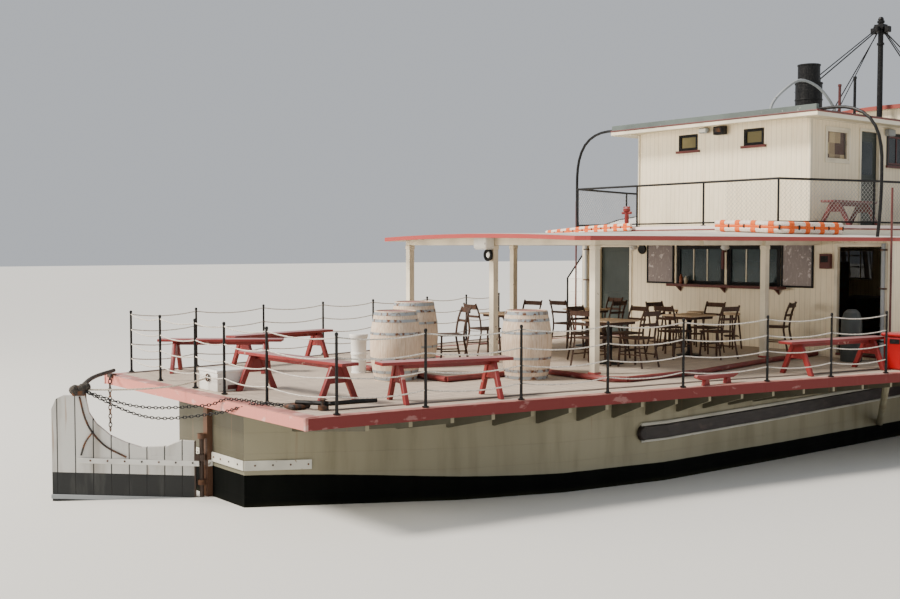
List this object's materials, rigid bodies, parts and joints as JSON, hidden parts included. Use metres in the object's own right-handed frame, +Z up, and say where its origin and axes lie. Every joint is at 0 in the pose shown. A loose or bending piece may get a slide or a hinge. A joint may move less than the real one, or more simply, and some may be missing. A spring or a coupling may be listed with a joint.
{
  "type": "side-wheel paddle steamer",
  "caption": "Flat-bottomed side-wheel river steamer with open stern deck under an awning, deckhouses, funnel, mast, paddle boxes and a hung rudder.",
  "frame": {"origin": "centre of the bounding box at the underside of the flat bottom", "axes": "+X forward to the bow, +Y to port, +Z up"},
  "size_m": [35.8, 10.7, 9.92],
  "materials": {
    "hull_paint": "weathered satin white over black boot top",
    "deck_planks": "bare weathered planks, painted edge",
    "maroon_timber": "gloss maroon paint",
    "cream_boards": "satin cream paint on vertical boards",
    "roof_canvas": "painted roof with red edge",
    "white_timber": "satin white paint",
    "green_paint": "satin grey-green paint",
    "black_iron": "semi-gloss black paint",
    "machinery": "dark grey paint",
    "red_timber": "red paint",
    "rudder_boards": "white over black boot top",
    "oak": "weathered pale oak"
  },
  "bodies": {
    "vessel": {"hull": "hull_paint", "main_deck": "deck_planks", "seating_platform": "deck_planks", "hatch_cover": "deck_planks", "strake_starboard": "maroon_timber", "strake_port": "maroon_timber", "lower_house": "cream_boards", "upper_cabin": "cream_boards", "wheelhouse": "cream_boards", "hatch_coaming": "cream_boards", "awning_roof": "roof_canvas", "promenade_deck": "roof_canvas", "upper_roof": "roof_canvas", "wheelhouse_roof": "roof_canvas", "awning_frame": "white_timber", "paddle_box_starboard": "white_timber", "paddle_box_port": "white_timber", "deck_box": "white_timber", "deck_vent": "white_timber", "roof_board": "green_paint", "funnel": "black_iron", "mast": "black_iron", "stern_rail": "black_iron", "bow_rail": "black_iron", "promenade_rail": "black_iron", "pipe_hoop_starboard": "black_iron", "pipe_hoop_port": "black_iron", "boiler": "machinery", "engine": "machinery", "windlass": "machinery", "bench_stern_port": "red_timber", "bench_port": "red_timber", "bench_stern": "red_timber", "bench_starboard": "red_timber", "bench_forward": "red_timber", "bench_promenade": "red_timber", "kevel": "red_timber", "barrel_aft": "oak", "barrel_middle": "oak", "barrel_side": "oak", "steering_stand": "oak", "companion_ladder": "oak", "table_1": "oak", "table_2": "oak", "table_3": "oak", "table_4": "oak"},
    "rudder_body": {"rudder": "rudder_boards"},
    "paddle_wheels": {"paddle_shaft": "machinery", "paddle_wheel_starboard": "red_timber", "paddle_wheel_port": "red_timber"},
    "steering": {"steering_wheel": "oak"},
    "lower_port_leaf": {"door_lower_port": "green_paint"},
    "lower_starboard_leaf": {"door_lower_starboard": "green_paint"},
    "cabin_port_leaf": {"door_cabin_port": "green_paint"},
    "cabin_starboard_leaf": {"door_cabin_starboard": "green_paint"},
    "wheelhouse_port_leaf": {"door_wheelhouse_port": "green_paint"},
    "wheelhouse_starboard_leaf": {"door_wheelhouse_starboard": "green_paint"}
  },
  "joints": [
    {"name": "rudder_turn", "type": "hinge", "parent": "vessel", "child": "rudder_body", "pos_m": [-16.135, 0, 1.2], "axis": [0, 0, 1], "range_deg": [-8, 72]},
    {"name": "paddle_spin", "type": "hinge", "parent": "vessel", "child": "paddle_wheels", "pos_m": [-0.7, 0, 2.85], "axis": [0, 1, 0], "continuous": true},
    {"name": "steering_turn", "type": "hinge", "parent": "vessel", "child": "steering", "pos_m": [3.4, 0, 6.12], "axis": [1, 0, 0], "range_deg": [-108, 972]},
    {"name": "lower_port_swing", "type": "hinge", "parent": "vessel", "child": "lower_port_leaf", "pos_m": [-4.427, 2.37, 3.5], "axis": [0, 0, 1], "range_deg": [-90, 0]},
    {"name": "lower_starboard_swing", "type": "hinge", "parent": "vessel", "child": "lower_starboard_leaf", "pos_m": [-4.427, -3.73, 3.5], "axis": [0, 0, 1], "range_deg": [-3, 65]},
    {"name": "cabin_port_swing", "type": "hinge", "parent": "vessel", "child": "cabin_port_leaf", "pos_m": [-2.83, 2.067, 5.97], "axis": [0, 0, 1], "range_deg": [-90, 0]},
    {"name": "cabin_starboard_swing", "type": "hinge", "parent": "vessel", "child": "cabin_starboard_leaf", "pos_m": [-2.83, -2.067, 5.97], "axis": [0, 0, 1], "range_deg": [0, 90]},
    {"name": "wheelhouse_port_swing", "type": "hinge", "parent": "vessel", "child": "wheelhouse_port_leaf", "pos_m": [1.97, 1.267, 5.97], "axis": [0, 0, 1], "range_deg": [-90, 0]},
    {"name": "wheelhouse_starboard_swing", "type": "hinge", "parent": "vessel", "child": "wheelhouse_starboard_leaf", "pos_m": [1.97, -1.267, 5.97], "axis": [0, 0, 1], "range_deg": [0, 90]}
  ],
  "couplings": [
    {"joint": "rudder_turn", "follows": "steering_turn", "ratio": 0.074}
  ]
}
